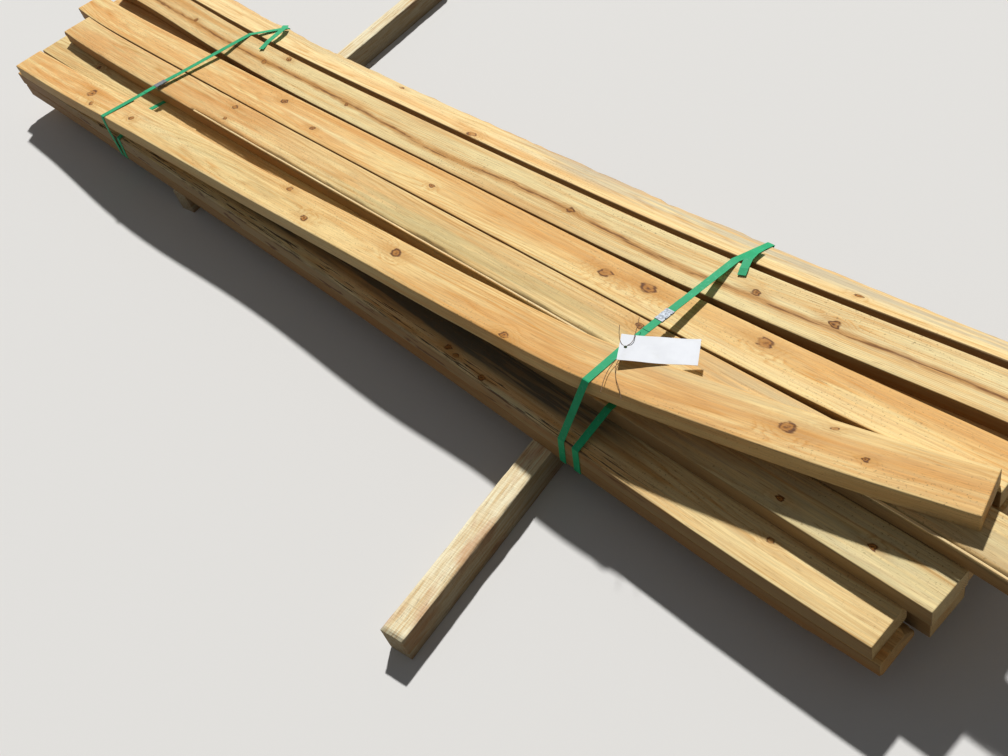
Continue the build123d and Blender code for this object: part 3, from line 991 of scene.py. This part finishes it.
# %% [markdown]
# Each outer strap has a loose end over the far studs. It is a short strip of the same strapping that leaves
# the strap and comes to rest on the wood. It is drawn through a few points with the strap's width and
# thickness, which is simpler than bending the strap itself.

# %% The straps' loose ends
strap_width, strap_thickness = 0.016, 0.0009
tail_side = Vector((1, 0.1, 0))


def strip(name, points, side):
    """A flat strip through points, with its width along a given direction."""
    mesh = bmesh.new()
    rows = []
    for i in range(len(points)):
        along = (points[min(i + 1, len(points) - 1)] - points[max(i - 1, 0)]).normalized()
        across = (side - along * side.dot(along)).normalized() * strap_width / 2
        up = along.cross(across).normalized() * strap_thickness / 2
        corners = (across + up, up - across, -across - up, across - up)
        rows.append([mesh.verts.new(points[i] + corner) for corner in corners])
    for row, following in zip(rows, rows[1:]):
        for k in range(4):
            mesh.faces.new((row[k], row[(k + 1) % 4], following[(k + 1) % 4], following[k]))
    mesh.faces.new(rows[0][::-1])
    mesh.faces.new(rows[-1])
    return into_scene(mesh, name)


tails = {
    "strap_front_end": (
        (0.888, 0.175, 0.2035), (0.893, 0.150, 0.2165), (0.901, 0.124, 0.2268), (0.911, 0.098, 0.2288),
        (0.916, 0.084, 0.2262),
    ),
    "strap_back_end": (
        (-0.768, 0.246, 0.2020), (-0.745, 0.225, 0.2110), (-0.722, 0.190, 0.2210), (-0.702, 0.150, 0.2290),
        (-0.690, 0.116, 0.2290),
    ),
}
for name, points in tails.items():
    piece = strip(name, [Vector(point) for point in points], tail_side)
    piece.data.materials.append(strapping)
    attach(piece, "root")
    print(name, "has", len(piece.data.polygons), "faces")

# %% [markdown]
# The setting stays plain: a pale floor. It looks pale to the camera and in reflections but gives only a
# little light back, so that the shaded sides and the gaps between the studs keep their depth. The Light Path
# node tells those rays apart.

# %% Floor
def seen_rays(tree):
    """One for the rays that show a surface to the camera, straight or by a mirror or a clear pane."""
    path = add(tree, "LightPath")
    rays = [path.outputs["Is " + kind + " Ray"] for kind in ("Camera", "Glossy", "Transmission")]
    seen = add(tree, "Math", rays[:2], operation="MAXIMUM")
    return add(tree, "Math", [seen, rays[2]], operation="MAXIMUM")


floor_reach = 30.0
floor_data = bpy.data.meshes.new("floor")
floor_corners = [(x * floor_reach, y * floor_reach, 0) for x, y in ((-1, -1), (1, -1), (1, 1), (-1, 1))]
floor_data.from_pydata(floor_corners, [], [(0, 1, 2, 3)])
floor = bpy.data.objects.new("floor", floor_data)
scene.collection.objects.link(floor)
floor_material, floor_tree, floor_output = new_material("pale_floor")
floor_colour = add(floor_tree, "Mix", {0: seen_rays(floor_tree), 6: "#9a958c", 7: "#e2e0dc"}, **in_colour)
matt = add(floor_tree, "BsdfPrincipled", {"Base Color": floor_colour, "Roughness": 0.9})
floor_tree.links.new(matt.outputs[0], floor_output.inputs[0])
floor_data.materials.append(floor_material)
print("floor reaches", floor_reach, "m each way")

# %% [markdown]
# One sun lights the bundle from above, from the far side and from beyond the left end, as on the real
# bundle. Its width makes the shadows' edges a little soft. The sky is pale where it is seen and weak as a
# light, for the same reason as the floor. The Standard view shows colours as written.

# %% Light
sun_direction = Vector((0.50, -0.66, -1.0))
sky_light, sky_seen = 0.11, 0.84
key_data = bpy.data.lights.new("key", "SUN")
key_data.energy = 3.6
key_data.angle = math.radians(2.5)
key = bpy.data.objects.new("key", key_data)
key.rotation_mode = "QUATERNION"
key.rotation_quaternion = sun_direction.to_track_quat("-Z", "Y")
scene.collection.objects.link(key)
world = bpy.data.worlds.new("world")
world.use_nodes = True
sky = world.node_tree.nodes["Background"]
sky.inputs[0].default_value = colour("#eef1f6")
sky_tree = world.node_tree
strength = add(sky_tree, "Math", [seen_rays(sky_tree), sky_seen, sky_light], operation="MULTIPLY_ADD")
sky_tree.links.new(strength.outputs[0], sky.inputs[1])
scene.world = world
scene.view_settings.view_transform = "Standard"
print("sun energy", round(key_data.energy, 2), "and sky", sky_light)
